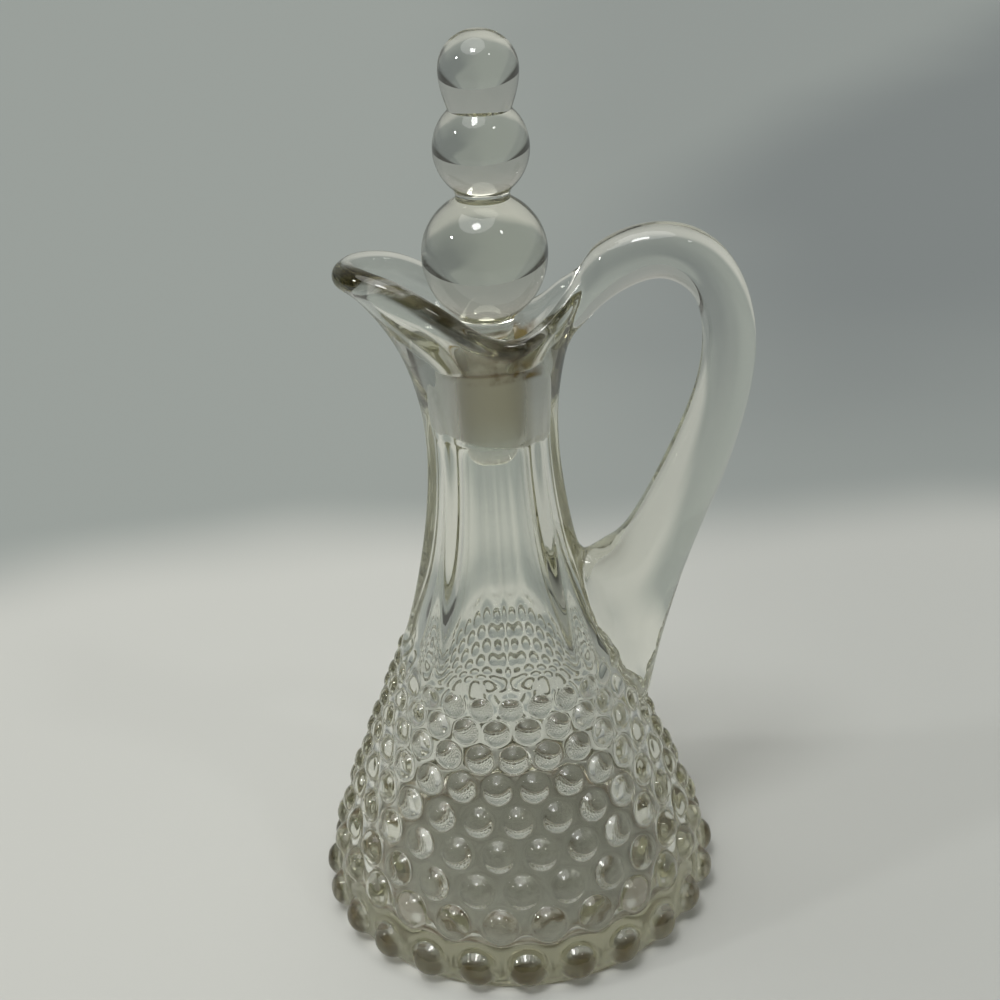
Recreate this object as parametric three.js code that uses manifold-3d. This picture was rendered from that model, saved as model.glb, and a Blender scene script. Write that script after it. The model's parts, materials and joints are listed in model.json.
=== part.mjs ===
// Glass cruet with a hobnailed body, a pinched pouring lip, an applied loop handle and a lift-out stopper.
// Millimetres, +Z up. The origin is the centre of the flat underside, on the vessel's axis.
// The handle is towards +X and the pouring spout towards -X.
import * as THREE from 'three';
import Module from 'manifold-3d';

const wasm = await Module();
wasm.setup();

// Gap kept between neighbouring pieces
const CLEARANCE = 0.3;

// Moulded pattern: staggered rings of hobs below, flat panels above
const HOB_COLUMNS = 24;
const ROW_HEIGHTS = [5, 13.7, 19.9, 26.4, 32.4, 38.2, 43.4, 48.0, 52.1];
const PANELS = 8;
const HOB_WIDTH_SHARE = 0.84; // of the distance between neighbours in a ring
const HOB_LENGTH_SHARE = 0.3; // of the distance between the rings above and below
const HOB_HEIGHT_SHARE = 0.5; // of half the hob's width
const HOB_SHOULDER_RADIUS = 0.62; // of the hob's half width
const HOB_SHOULDER_HEIGHT = 0.7; // of the hob's height
const BASE_HOB_STRETCH = 1.1; // the lowest hobs are taller than they are wide

// Outside of the vessel; the belly is level with the lowest hobs and the waist with the top ones
const FOOT_RADIUS = 35.6;
const FOOT_ROUNDING = 1.5;
const BELLY_RADIUS = 37.3;
const WAIST_RADIUS = 20.5;
const BELLY_FULLNESS = new THREE.Vector2(-1.1, 7);
const WAIST_FULLNESS = new THREE.Vector2(6.6, -16.5);
const COLLAR_NARROWING = 0.114; // loss of radius for each millimetre of height above the waist
const PANEL_FOOT_RISE = 2.4; // above the top ring of hobs
const PANEL_FOOT_INSET = 1.65; // how far in from the waist the panels lie at their feet
const PANEL_SCOOP = 4; // height over which a panel's foot runs out to the skin
const NECK_RADIUS = 10.95; // to the middle of a panel
const NECK_HEIGHT = 99;
const RIDGE_SHARPNESS = 0.985;

// Inside of the vessel
const FLOOR_THICKNESS = 4.6;
const CAVITY_CORNER = 6.4;
const BODY_WALL = 3.7;
const SHOULDER_WALL = 4.85;
const THROAT_RISE = 14; // from the top ring of hobs to the end of the cavity's cone
const NECK_WALL = 3.95; // at the middle of a panel

// Ground seat and the stopper's plug
const SEAT_LENGTH = 14;
const SEAT_TAPER = 0.8; // gain of radius over the length
const SEAT_STEP = 0.2; // how far the seat's lower edge stands in from the bore
const PLUG_TIP_LENGTH = 6;
const PLUG_CHAMFER = 0.6;

// Rim, as the middle of its rounded edge; its rises are measured from the narrowest ring of the neck
const RIM_THICKNESS = 2.8;
const LIP_SIDE_ROOM = 1; // between the seat and the sides of the rim, so that the stopper lifts out
const SPOUT_REACH = 23.9;
const SPOUT_RISE = 32;
const BACK_REACH = 18.6;
const BACK_RISE = 29;
const DIP_RISE = 19.2;
// Shares of reach, half width and rise, every 22.5 degrees from the handle to the spout
const RIM_SHAPE = [
  [1, 0, 1],
  [0.74, 0.48, 0.55],
  [0.51, 0.69, 0.16],
  [0.27, 0.92, 0],
  [0, 1, 0.11],
  [-0.29, 0.93, 0.5],
  [-0.61, 0.76, 0.87],
  [-0.89, 0.43, 1.01],
  [-1, 0, 1],
];
const LIP_START_RISE = 1.5;
const LIP_LEAN = 0.14; // share of the lip's overhang that the wall has taken up where it turns outwards
const MOUTH_LEAN = 0.16; // the same for the inside, above the seat
const LIP_TURN = 0.58; // share of the lip's rise at which the outside turns
const MOUTH_TURN = 0.25;

// Handle, as matching points of its outer and inner lines in the plane y = 0, with its half width.
// They are shares of the reach, of the height from foot to top, and of the widest half width.
// The vessel's outside trims its ends.
const HANDLE_REACH = 47.7;
const HANDLE_TOP_RISE = 36.7; // above the narrowest ring of the neck
const HANDLE_FOOT_DROP = 60.6; // below it
const HANDLE_HALF_WIDTH = 7;
const HANDLE_STATIONS = [
  { outer: [0.247, 0.863], inner: [0.331, 0.792], halfWidth: 0.6 },
  { outer: [0.346, 0.93], inner: [0.411, 0.856], halfWidth: 0.6 },
  { outer: [0.474, 0.983], inner: [0.537, 0.899], halfWidth: 0.629 },
  { outer: [0.629, 1], inner: [0.639, 0.903], halfWidth: 0.686 },
  { outer: [0.79, 0.984], inner: [0.711, 0.888], halfWidth: 0.714 },
  { outer: [0.927, 0.919], inner: [0.776, 0.852], halfWidth: 0.7 },
  { outer: [1, 0.792], inner: [0.801, 0.782], halfWidth: 0.686 },
  { outer: [0.973, 0.659], inner: [0.774, 0.682], halfWidth: 0.7 },
  { outer: [0.885, 0.517], inner: [0.669, 0.559], halfWidth: 0.771 },
  { outer: [0.788, 0.403], inner: [0.553, 0.446], halfWidth: 0.886 },
  { outer: [0.727, 0.325], inner: [0.438, 0.366], halfWidth: 0.971 },
  { outer: [0.675, 0.24], inner: [0.283, 0.345], halfWidth: 1 },
  { outer: [0.616, 0.14], inner: [0.356, 0.222], halfWidth: 0.9 },
  { outer: [0.577, 0.051], inner: [0.451, 0.068], halfWidth: 0.714 },
  { outer: [0.553, 0], inner: [0.516, 0.004], halfWidth: 0.214 },
];
const MOUTH_ROOM_RISE = 20; // over the rim, kept clear of the handle's upper end
const HANDLE_SIDES = 12;
const HANDLE_STEPS = 40;

// Stopper finial: three balls of growing size on a short stem, with heights above the seat
const STEM_RADIUS = 4.5;
const STEM_RISE = 3.2;
const LARGE_BALL = { radius: 10.85, centre: 19.2, rise: 10.9, drop: 12.3 };
const MIDDLE_BALL = { radius: 8.15, centre: 37.6, rise: 8.6, drop: 8.6 };
const SMALL_BALL = { radius: 6.7, centre: 50.7, rise: 6.6, drop: 9.8 };
const LOWER_CREASE_RADIUS = 4.6;
const UPPER_CREASE_RADIUS = 5.25;
const STOPPER_LEAN_DEGREES = 1.6; // towards the handle, within the clearance of its seat
const STOPPER_SIDES = 24;

const bellyHeight = ROW_HEIGHTS[0];
const waistHeight = ROW_HEIGHTS.at(-1);
const panelFootHeight = waistHeight + PANEL_FOOT_RISE;
const throatHeight = waistHeight + THROAT_RISE;
const boreRadius = NECK_RADIUS - NECK_WALL;
const seatBottomRadius = boreRadius - SEAT_STEP;
const seatTopRadius = seatBottomRadius + SEAT_TAPER;
const seatTopHeight = NECK_HEIGHT + SEAT_LENGTH;
const lipStartHeight = NECK_HEIGHT + LIP_START_RISE;
const SEGMENTS = 2 * HOB_COLUMNS;
const panelWidth = 2 * Math.PI / PANELS;
const neckCornerRadius = NECK_RADIUS / Math.cos(panelWidth / 2);
const rimRadius = RIM_THICKNESS / 2;

const glass = (colour) => new THREE.MeshStandardMaterial({
  color: colour,
  roughness: 0.05,
  metalness: 0,
  transparent: true,
  opacity: 0.35,
});

// A closed surface gathered point by point
class Surface {
  constructor() {
    this.points = [];
    this.faces = [];
  }

  point(x, y, z) {
    this.points.push(x, y, z);
    return this.points.length / 3 - 1;
  }

  triangle(a, b, c) {
    this.faces.push(a, b, c);
  }

  // Joins two closed loops of equally many points; the second lies to the left of the first's direction
  bridge(loop, next) {
    loop.forEach((start, i) => {
      const k = (i + 1) % loop.length;
      this.triangle(start, loop[k], next[k]);
      this.triangle(start, next[k], next[i]);
    });
  }

  // Closes a loop with a fan to one point
  fan(loop, centre) {
    loop.forEach((start, i) => this.triangle(start, loop[(i + 1) % loop.length], centre));
  }

  geometry() {
    const geometry = new THREE.BufferGeometry();
    geometry.setAttribute('position', new THREE.Float32BufferAttribute(this.points, 3));
    geometry.setIndex(this.faces);
    return geometry;
  }
}

const bezier = (...points) => new THREE.CubicBezierCurve(...points);
const at = (radius, height) => new THREE.Vector2(radius, height);

// Radius of a rising outline at one height, found by halving
function radiusAt(curve, height) {
  let low = 0;
  let high = 1;
  for (let i = 0; i < 40; i += 1) {
    const middle = (low + high) / 2;
    if (curve.getPoint(middle).y < height) low = middle;
    else high = middle;
  }
  return curve.getPoint(low).x;
}

const foot = new THREE.QuadraticBezierCurve(
  at(FOOT_RADIUS, 0),
  at(BELLY_RADIUS, FOOT_ROUNDING),
  at(BELLY_RADIUS, bellyHeight),
);
const flank = bezier(
  at(BELLY_RADIUS, bellyHeight),
  at(BELLY_RADIUS, bellyHeight).add(BELLY_FULLNESS),
  at(WAIST_RADIUS, waistHeight).add(WAIST_FULLNESS),
  at(WAIST_RADIUS, waistHeight),
);
const panelRise = (NECK_HEIGHT - panelFootHeight) / 3;
const panelFootRadius = WAIST_RADIUS - PANEL_FOOT_INSET;
const panelLine = bezier(
  at(panelFootRadius, panelFootHeight),
  at(panelFootRadius - (panelFootRadius - NECK_RADIUS) * 0.6, panelFootHeight + panelRise),
  at(NECK_RADIUS + (panelFootRadius - NECK_RADIUS) * 0.02, NECK_HEIGHT - panelRise),
  at(NECK_RADIUS, NECK_HEIGHT),
);

// Round skin of the vessel between the hobs
function skinRadius(height) {
  if (height <= bellyHeight) return radiusAt(foot, height);
  if (height <= waistHeight) return radiusAt(flank, height);
  return WAIST_RADIUS - COLLAR_NARROWING * (height - waistHeight);
}

// The panels are flats cut into that skin, and each is scooped out to it at its foot, above the hobs.
// The handle, the spout and both sides are each on a ridge between two panels.
function outerRadius(height, angle) {
  const round = skinRadius(height);
  if (height < panelFootHeight) return round;
  const panel = radiusAt(panelLine, Math.min(height, NECK_HEIGHT));
  const climbed = Math.min((height - panelFootHeight) / PANEL_SCOOP, 1);
  const flat = panel + (round - panel) * (1 - climbed) ** 2;
  const off = angle - panelWidth * (Math.floor(angle / panelWidth) + 0.5);
  return Math.min(round, flat / Math.cos(off * RIDGE_SHARPNESS));
}

// Inside of the cone and of the throat that leads up to the seat
const cavityFoot = FLOOR_THICKNESS + CAVITY_CORNER;
const cavityRadius = skinRadius(cavityFoot) - BODY_WALL;
const throatRadius = radiusAt(panelLine, throatHeight) - SHOULDER_WALL;
const cavityRise = throatHeight - cavityFoot;
const throatRise = NECK_HEIGHT - throatHeight;
const throatLean = (cavityRadius - throatRadius) / cavityRise;
const cavityWall = bezier(
  at(cavityRadius, cavityFoot),
  at(cavityRadius - 0.12 * (cavityRadius - throatRadius), cavityFoot + cavityRise / 5),
  at(throatRadius + throatLean * cavityRise / 4, throatHeight - cavityRise / 4),
  at(throatRadius, throatHeight),
);
const throatWall = bezier(
  at(throatRadius, throatHeight),
  at(throatRadius - throatLean * throatRise / 6, throatHeight + throatRise / 6),
  at(boreRadius, throatHeight + throatRise / 2),
  at(boreRadius, NECK_HEIGHT - 1),
);

const segmentAngle = (index) => index * 2 * Math.PI / SEGMENTS;
const everySegment = (make) => Array.from({ length: SEGMENTS }, (_, index) => make(index));

// Distance from one ring of hobs up to the next; the top ring keeps the step below it
function stepAbove(row) {
  const lower = Math.min(row, ROW_HEIGHTS.length - 2);
  return ROW_HEIGHTS[lower + 1] - ROW_HEIGHTS[lower];
}

function hobSize(row) {
  const pitch = 2 * Math.PI * skinRadius(ROW_HEIGHTS[row]) / HOB_COLUMNS;
  const below = row > 0 ? stepAbove(row - 1) : 2 * ROW_HEIGHTS[0];
  const above = stepAbove(row);
  const halfWidth = HOB_WIDTH_SHARE * pitch / 2;
  const stretch = row > 0 ? 1 : BASE_HOB_STRETCH;
  return {
    halfWidth,
    halfLength: Math.min(stretch * halfWidth, HOB_LENGTH_SHARE * (below + above)),
    height: HOB_HEIGHT_SHARE * halfWidth,
  };
}

// How far the skin leans back at one height
const skinTilt = (height) => Math.atan(skinRadius(height - 0.5) - skinRadius(height + 0.5));

// A point on or above the skin, given by its angle, height and lift along the surface normal
function skinPoint(surface, angle, height, lift) {
  const tilt = skinTilt(height);
  const radius = skinRadius(height) + lift * Math.cos(tilt);
  return surface.point(radius * Math.cos(angle), radius * Math.sin(angle), height + lift * Math.sin(tilt));
}

// Zigzag loop of cell corners between one ring of hobs and the next
function cellLoop(surface, row) {
  const low = row < 0 ? 0 : ROW_HEIGHTS[row];
  const step = row < 0 ? ROW_HEIGHTS[0] : stepAbove(row);
  return everySegment((index) => {
    const overHob = (index + Math.max(row, 0)) % 2 === 0;
    const share = row < 0 ? (overHob ? 0.04 : 0.45) : (overHob ? 2 / 3 : 1 / 3);
    const height = low + share * step;
    const angle = segmentAngle(index);
    const radius = outerRadius(height, angle);
    return surface.point(radius * Math.cos(angle), radius * Math.sin(angle), height);
  });
}

// One hob: a six-sided skirt out of its cell, a shoulder ring and a crown
function addHob(surface, row, column, lower, upper) {
  const before = (column + SEGMENTS - 1) % SEGMENTS;
  const after = (column + 1) % SEGMENTS;
  const corners = [lower[after], upper[after], upper[column], upper[before], lower[before], lower[column]];
  const size = hobSize(row);
  const height = ROW_HEIGHTS[row];
  const climb = Math.cos(skinTilt(height));
  const ring = (radiusShare, liftShare) => corners.map((_, i) => {
    const turn = (i - 0.5) * Math.PI / 3;
    const along = size.halfWidth * radiusShare * Math.cos(turn) / skinRadius(height);
    const up = size.halfLength * radiusShare * Math.sin(turn) * climb;
    return skinPoint(surface, segmentAngle(column) + along, height + up, size.height * liftShare);
  });
  const skirt = ring(1, 0);
  const shoulder = ring(HOB_SHOULDER_RADIUS, HOB_SHOULDER_HEIGHT);
  surface.bridge(corners, skirt);
  surface.bridge(skirt, shoulder);
  surface.fan(shoulder, skinPoint(surface, segmentAngle(column), height, size.height));
}

const lipHalfWidth = seatTopRadius + LIP_SIDE_ROOM + rimRadius;
const rimSide = RIM_SHAPE.map(([along, across, up]) => new THREE.Vector3(
  along * (along > 0 ? BACK_REACH : SPOUT_REACH),
  across * lipHalfWidth,
  NECK_HEIGHT + THREE.MathUtils.lerp(DIP_RISE, along > 0 ? BACK_RISE : SPOUT_RISE, up),
));
const rim = new THREE.CatmullRomCurve3(
  [...rimSide, ...rimSide.slice(1, -1).reverse().map((p) => new THREE.Vector3(p.x, -p.y, p.z))],
  true,
);

// The lip at one angle: curves for its outer and inner walls and the rounded edge between them
function lipSection(index, grow) {
  const angle = segmentAngle(index);
  const out = new THREE.Vector3(Math.cos(angle), Math.sin(angle), 0);
  const centre = rim.getPoint(index / SEGMENTS);
  const along = rim.getTangent(index / SEGMENTS);
  const away = new THREE.Vector3(along.y, -along.x, 0).normalize();
  const up = new THREE.Vector3(0, 0, 1);
  const start = out.clone().multiplyScalar(outerRadius(NECK_HEIGHT, angle) + grow).setZ(lipStartHeight);
  const reach = Math.hypot(centre.x, centre.y);
  const { lerp } = THREE.MathUtils;
  const lean = out.clone().multiplyScalar(lerp(neckCornerRadius, reach, LIP_LEAN) + grow);
  lean.z = lerp(lipStartHeight, centre.z, LIP_TURN);
  const rise = centre.clone().sub(lean);
  const spread = Math.max(rise.dot(away), 0);
  const wall = away.clone().multiplyScalar(spread).addScaledVector(up, rise.z).normalize();
  const side = away.clone().multiplyScalar(wall.z).addScaledVector(up, -wall.dot(away));
  const edge = (turn) => centre.clone()
    .addScaledVector(side, Math.cos(turn) * (rimRadius + grow))
    .addScaledVector(wall, Math.sin(turn) * (rimRadius + grow));
  const seat = out.clone().multiplyScalar(seatTopRadius).setZ(seatTopHeight);
  const mouth = out.clone().multiplyScalar(lerp(seatTopRadius, reach, MOUTH_LEAN));
  mouth.z = lerp(seatTopHeight, centre.z, MOUTH_TURN);
  return {
    outside: new THREE.QuadraticBezierCurve3(start, lean, edge(0)),
    edge,
    inside: new THREE.QuadraticBezierCurve3(edge(Math.PI), mouth, seat),
  };
}

const NECK_RING_SHARES = [0.035, 0.09, 0.16, 0.25, 0.36, 0.5, 0.65, 0.82, 1];
const LIP_SHARES = [0.2, 0.4, 0.6, 0.8, 1];

function loopOf(surface, place) {
  return everySegment((index) => {
    const spot = place(index);
    return surface.point(spot.x, spot.y, spot.z);
  });
}

const roundLoop = (surface, radius, height) => loopOf(surface, (index) => new THREE.Vector3(
  radius * Math.cos(segmentAngle(index)),
  radius * Math.sin(segmentAngle(index)),
  height,
));

// Joins a run of loops, each to the next
function join(surface, loops) {
  loops.slice(1).forEach((loop, i) => surface.bridge(loops[i], loop));
}

function neckLoops(surface, grow) {
  return NECK_RING_SHARES.map((share) => loopOf(surface, (index) => {
    const height = THREE.MathUtils.lerp(panelFootHeight, NECK_HEIGHT, share);
    const angle = segmentAngle(index);
    const radius = outerRadius(height, angle) + grow;
    return new THREE.Vector3(radius * Math.cos(angle), radius * Math.sin(angle), height);
  }));
}

function lipLoops(surface, sections) {
  return LIP_SHARES.map((share) => loopOf(surface, (index) => sections[index].outside.getPoint(share)));
}

function edgeLoop(surface, sections, degrees) {
  return loopOf(surface, (index) => sections[index].edge(THREE.MathUtils.degToRad(degrees)));
}

function cavityLoops(surface) {
  const throatRings = [1, 0.75, 0.5, 0.3, 0.12].map((t) => throatWall.getPoint(t).toArray());
  const wallRings = [1, 0.85, 0.7, 0.55, 0.4, 0.2, 0].map((t) => cavityWall.getPoint(t).toArray());
  const cornerRings = [30, 60, 90].map((degrees) => {
    const turn = THREE.MathUtils.degToRad(degrees);
    return [
      cavityRadius - CAVITY_CORNER * (1 - Math.cos(turn)),
      cavityFoot - CAVITY_CORNER * Math.sin(turn),
    ];
  });
  return [[seatBottomRadius, NECK_HEIGHT], ...throatRings, ...wallRings, ...cornerRings]
    .map(([radius, height]) => roundLoop(surface, radius, height));
}

function vesselGeometry() {
  const surface = new Surface();
  const underside = roundLoop(surface, FOOT_RADIUS, 0);
  surface.fan([...underside].reverse(), surface.point(0, 0, 0));
  let lower = cellLoop(surface, -1);
  surface.bridge(underside, lower);
  ROW_HEIGHTS.forEach((_, row) => {
    const upper = cellLoop(surface, row);
    for (let column = row % 2; column < SEGMENTS; column += 2) addHob(surface, row, column, lower, upper);
    lower = upper;
  });
  const sections = everySegment((index) => lipSection(index, 0));
  const edgeLoops = [45, 90, 135, 180].map((degrees) => edgeLoop(surface, sections, degrees));
  const mouthLoops = [0.25, 0.5, 0.75, 1].map((share) => loopOf(
    surface,
    (index) => sections[index].inside.getPoint(share),
  ));
  const inner = cavityLoops(surface);
  join(surface, [lower, ...neckLoops(surface, 0), ...lipLoops(surface, sections), ...edgeLoops,
    ...mouthLoops, ...inner]);
  surface.fan(inner.at(-1), surface.point(0, 0, FLOOR_THICKNESS));
  return surface.geometry();
}

// The room that the vessel takes up, filled in and grown by the clearance, which trims the handle's ends
function vesselRoomGeometry() {
  const surface = new Surface();
  const underside = roundLoop(surface, FOOT_RADIUS, -1);
  surface.fan([...underside].reverse(), surface.point(0, 0, -1));
  const overHobs = ROW_HEIGHTS.map((height, row) => everySegment(
    (index) => skinPoint(surface, segmentAngle(index), height, hobSize(row).height + CLEARANCE),
  ));
  const sections = everySegment((index) => lipSection(index, CLEARANCE));
  const edgeLoops = [45, 90].map((degrees) => edgeLoop(surface, sections, degrees));
  join(surface, [underside, ...overHobs, ...neckLoops(surface, CLEARANCE),
    ...lipLoops(surface, sections), ...edgeLoops]);
  surface.fan(edgeLoops.at(-1), surface.point(0, 0, NECK_HEIGHT + SPOUT_RISE + MOUTH_ROOM_RISE));
  return surface.geometry();
}

function handleGeometry() {
  const { lerp } = THREE.MathUtils;
  const heightAt = (share) => NECK_HEIGHT + lerp(-HANDLE_FOOT_DROP, HANDLE_TOP_RISE, share);
  const line = (key) => new THREE.CatmullRomCurve3(HANDLE_STATIONS.map(
    ({ [key]: [across, up] }) => new THREE.Vector3(across * HANDLE_REACH, 0, heightAt(up)),
  ));
  const outerLine = line('outer');
  const innerLine = line('inner');
  const widths = new THREE.SplineCurve(
    HANDLE_STATIONS.map((station, i) => at(i, station.halfWidth * HANDLE_HALF_WIDTH)),
  );
  const surface = new Surface();
  const loops = Array.from({ length: HANDLE_STEPS + 1 }, (_, step) => {
    const t = step / HANDLE_STEPS;
    const outer = outerLine.getPoint(t);
    const inner = innerLine.getPoint(t);
    const middle = outer.clone().add(inner).multiplyScalar(0.5);
    const reach = outer.clone().sub(middle);
    const halfWidth = widths.getPoint(t).y;
    return Array.from({ length: HANDLE_SIDES }, (__, side) => {
      const turn = side * 2 * Math.PI / HANDLE_SIDES;
      const spot = middle.clone().addScaledVector(reach, Math.cos(turn));
      return surface.point(spot.x, -halfWidth * Math.sin(turn), spot.z);
    });
  });
  const first = outerLine.getPoint(0).add(innerLine.getPoint(0)).multiplyScalar(0.5);
  const last = outerLine.getPoint(1).add(innerLine.getPoint(1)).multiplyScalar(0.5);
  surface.fan([...loops[0]].reverse(), surface.point(first.x, 0, first.z));
  join(surface, loops);
  surface.fan(loops.at(-1), surface.point(last.x, 0, last.z));
  return surface.geometry();
}

function toSolid(geometry) {
  return new wasm.Manifold(new wasm.Mesh({
    numProp: 3,
    vertProperties: Float32Array.from(geometry.attributes.position.array),
    triVerts: Uint32Array.from(geometry.index.array),
  }));
}

function toGeometry(solid) {
  const mesh = solid.getMesh();
  const geometry = new THREE.BufferGeometry();
  geometry.setAttribute('position', new THREE.BufferAttribute(mesh.vertProperties, 3));
  geometry.setIndex(new THREE.BufferAttribute(mesh.triVerts, 1));
  return geometry;
}

// The largest of the separate bodies that a cut leaves
function largest(solid) {
  return solid.decompose().sort((a, b) => b.volume() - a.volume())[0];
}

// Points up one ball of the finial, between the radii of the creases below and above it
function ballOutline(ball, lowRadius, highRadius) {
  const lowTurn = -Math.acos(lowRadius / ball.radius);
  const highTurn = Math.acos(highRadius / ball.radius);
  const steps = 9;
  return Array.from({ length: steps + 1 }, (_, i) => {
    const turn = THREE.MathUtils.lerp(lowTurn, highTurn, i / steps);
    const reach = turn < 0 ? ball.drop : ball.rise;
    return at(ball.radius * Math.cos(turn), seatTopHeight + ball.centre + reach * Math.sin(turn));
  });
}

function stopperGeometry() {
  const plugBottom = seatBottomRadius - CLEARANCE;
  const plugTop = seatTopRadius - CLEARANCE;
  const tipRadius = plugBottom - PLUG_CHAMFER;
  const tipSteps = 5;
  const tip = Array.from({ length: tipSteps }, (_, i) => {
    const turn = (i / tipSteps - 1) * Math.PI / 2;
    return at(tipRadius * Math.cos(turn), NECK_HEIGHT + PLUG_TIP_LENGTH * Math.sin(turn));
  });
  tip[0].x = 0;
  const crown = ballOutline(SMALL_BALL, UPPER_CREASE_RADIUS, 0);
  crown.at(-1).x = 0;
  const outline = [
    ...tip,
    at(tipRadius, NECK_HEIGHT),
    at(plugBottom, NECK_HEIGHT + PLUG_CHAMFER),
    at(plugTop, seatTopHeight - PLUG_CHAMFER),
    at(plugTop - PLUG_CHAMFER, seatTopHeight),
    at((plugTop + STEM_RADIUS) / 2, seatTopHeight + STEM_RISE * 0.28),
    at(STEM_RADIUS, seatTopHeight + STEM_RISE),
    ...ballOutline(LARGE_BALL, STEM_RADIUS, LOWER_CREASE_RADIUS),
    ...ballOutline(MIDDLE_BALL, LOWER_CREASE_RADIUS, UPPER_CREASE_RADIUS),
    ...crown,
  ];
  const seatMiddle = NECK_HEIGHT + SEAT_LENGTH / 2;
  const lathe = new THREE.LatheGeometry(outline, STOPPER_SIDES);
  lathe.rotateX(Math.PI / 2);
  lathe.translate(0, 0, -seatMiddle);
  lathe.rotateY(THREE.MathUtils.degToRad(STOPPER_LEAN_DEGREES));
  lathe.translate(0, 0, seatMiddle);
  return lathe;
}

const vesselGlass = glass(0xb9bdb4);
const handleGlass = glass(0xc2c5bf);
const stopperGlass = glass(0xc9cbc6);

const cruetBody = new THREE.Mesh(vesselGeometry(), vesselGlass);
cruetBody.name = 'cruet_body';

const trimmedHandle = largest(toSolid(handleGeometry()).subtract(toSolid(vesselRoomGeometry())));
const handle = new THREE.Mesh(toGeometry(trimmedHandle), handleGlass);
handle.name = 'handle';

const stopper = new THREE.Mesh(stopperGeometry(), stopperGlass);
stopper.name = 'stopper';

const cruet = new THREE.Group();
cruet.add(cruetBody, handle, stopper);

export default cruet;
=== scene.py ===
"""Glass cruet: a hobnailed vessel with its applied handle, and a three-ball stopper, on a cloth.

Lengths in the tables below are millimetres; Blender's own values are metres.
The vessel stands on z = 0 with its axis on the origin, its handle towards +X and its spout
towards -X.
"""

import json
import math
from collections import namedtuple

import bmesh
import bpy
from mathutils import Euler, Matrix, Vector

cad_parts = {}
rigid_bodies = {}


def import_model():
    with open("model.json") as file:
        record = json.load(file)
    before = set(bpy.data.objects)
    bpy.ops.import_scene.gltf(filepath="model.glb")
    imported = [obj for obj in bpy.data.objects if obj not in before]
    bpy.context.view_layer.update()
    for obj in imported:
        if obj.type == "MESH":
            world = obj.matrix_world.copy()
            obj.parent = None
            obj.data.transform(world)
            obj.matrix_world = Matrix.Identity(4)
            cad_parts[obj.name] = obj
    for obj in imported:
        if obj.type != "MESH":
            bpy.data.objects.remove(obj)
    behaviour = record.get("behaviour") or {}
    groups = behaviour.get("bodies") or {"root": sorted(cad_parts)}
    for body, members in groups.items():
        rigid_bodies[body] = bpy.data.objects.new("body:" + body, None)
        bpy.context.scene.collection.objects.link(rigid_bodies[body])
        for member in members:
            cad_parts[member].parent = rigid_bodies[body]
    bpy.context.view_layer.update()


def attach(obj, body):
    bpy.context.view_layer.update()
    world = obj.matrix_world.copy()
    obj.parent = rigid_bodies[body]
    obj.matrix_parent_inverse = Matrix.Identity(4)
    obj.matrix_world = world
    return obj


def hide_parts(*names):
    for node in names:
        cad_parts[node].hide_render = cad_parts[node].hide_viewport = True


bl_info = {
    "name": "Glass Cruet",
    "version": (1, 0, 0),
    "blender": (4, 5, 0),
    "location": "View3D > Sidebar > Cruet",
    "description": "Builds a hobnailed glass cruet with its handle, its stopper and a studio",
    "category": "Add Mesh",
}

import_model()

MM = 0.001
SMOOTHINGS = 2

# Sharpness of edges
FOOT_CREASE, SEAT_CREASE, PLUG_CREASE, BALL_CREASE = 0.35, 0.7, 0.4, 0.6

# Points nearer than this become one, anywhere and along the handle's seam; and the rows of
# points on each side of the seam that melt with it
JOINED, JOINED_AT_SEAM, SEAM_RINGS = 0.01 * MM, 0.2 * MM, 4

# Upright columns of the rough vessel: two for each hob and six for each panel
COLUMNS = 48
PANEL_COLUMNS = 6
COLUMN_TURN = 2 * math.pi / COLUMNS

# Shares of reach, half width and rise of the rim, every 22.5 degrees from the handle to the spout
RIM_SHAPE = (
    (1, 0, 1),
    (0.74, 0.48, 0.55),
    (0.51, 0.69, 0.16),
    (0.27, 0.92, 0),
    (0, 1, 0.11),
    (-0.29, 0.93, 0.5),
    (-0.61, 0.76, 0.87),
    (-0.89, 0.43, 1.01),
    (-1, 0, 1),
)

# Rings of a hob from its foot up: share of half its width, share of its height, creased or not
HOB_RINGS = ((1.1, 0, True), (0.85, 0.58, False), (0.36, 1.1, False))

# Zigzag round the lowest hobs, as shares of their height: under a hob and between two
FOOT_ZIGZAG = (0.04, 0.45)

# How far the two ends of the flank's curve lead off: out and up
BELLY_FULLNESS = (-1.1, 7)
WAIST_FULLNESS = (6.6, -16.5)

# Rings of the neck, as shares of the way from the panels' feet to the narrowest ring
NECK_SHARES = (0.03, 0.07, 0.13, 0.26, 0.5, 0.75, 1)

# Rings of the lip: along the outside, round its edge and down the inside. Its bead hangs out
# by a share of its drop, and its rough edge is larger because the smoothing pulls it in
OUTSIDE_SHARES, INSIDE_SHARES = (0.3, 0.65, 1), (0, 0.35, 0.7, 1)
EDGE_DEGREES = (0, 45, 90, 135, 180)
BEAD_OVERHANG, EDGE_SWELL = 0.4, 1.06

# Rings of the cavity: down the throat, down the wall and round the corner
THROAT_SHARES = (1, 0.7, 0.4, 0.15)
WALL_SHARES = (0.95, 0.75, 0.5, 0.25, 0)
CORNER_DEGREES = (35, 65, 90)

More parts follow.
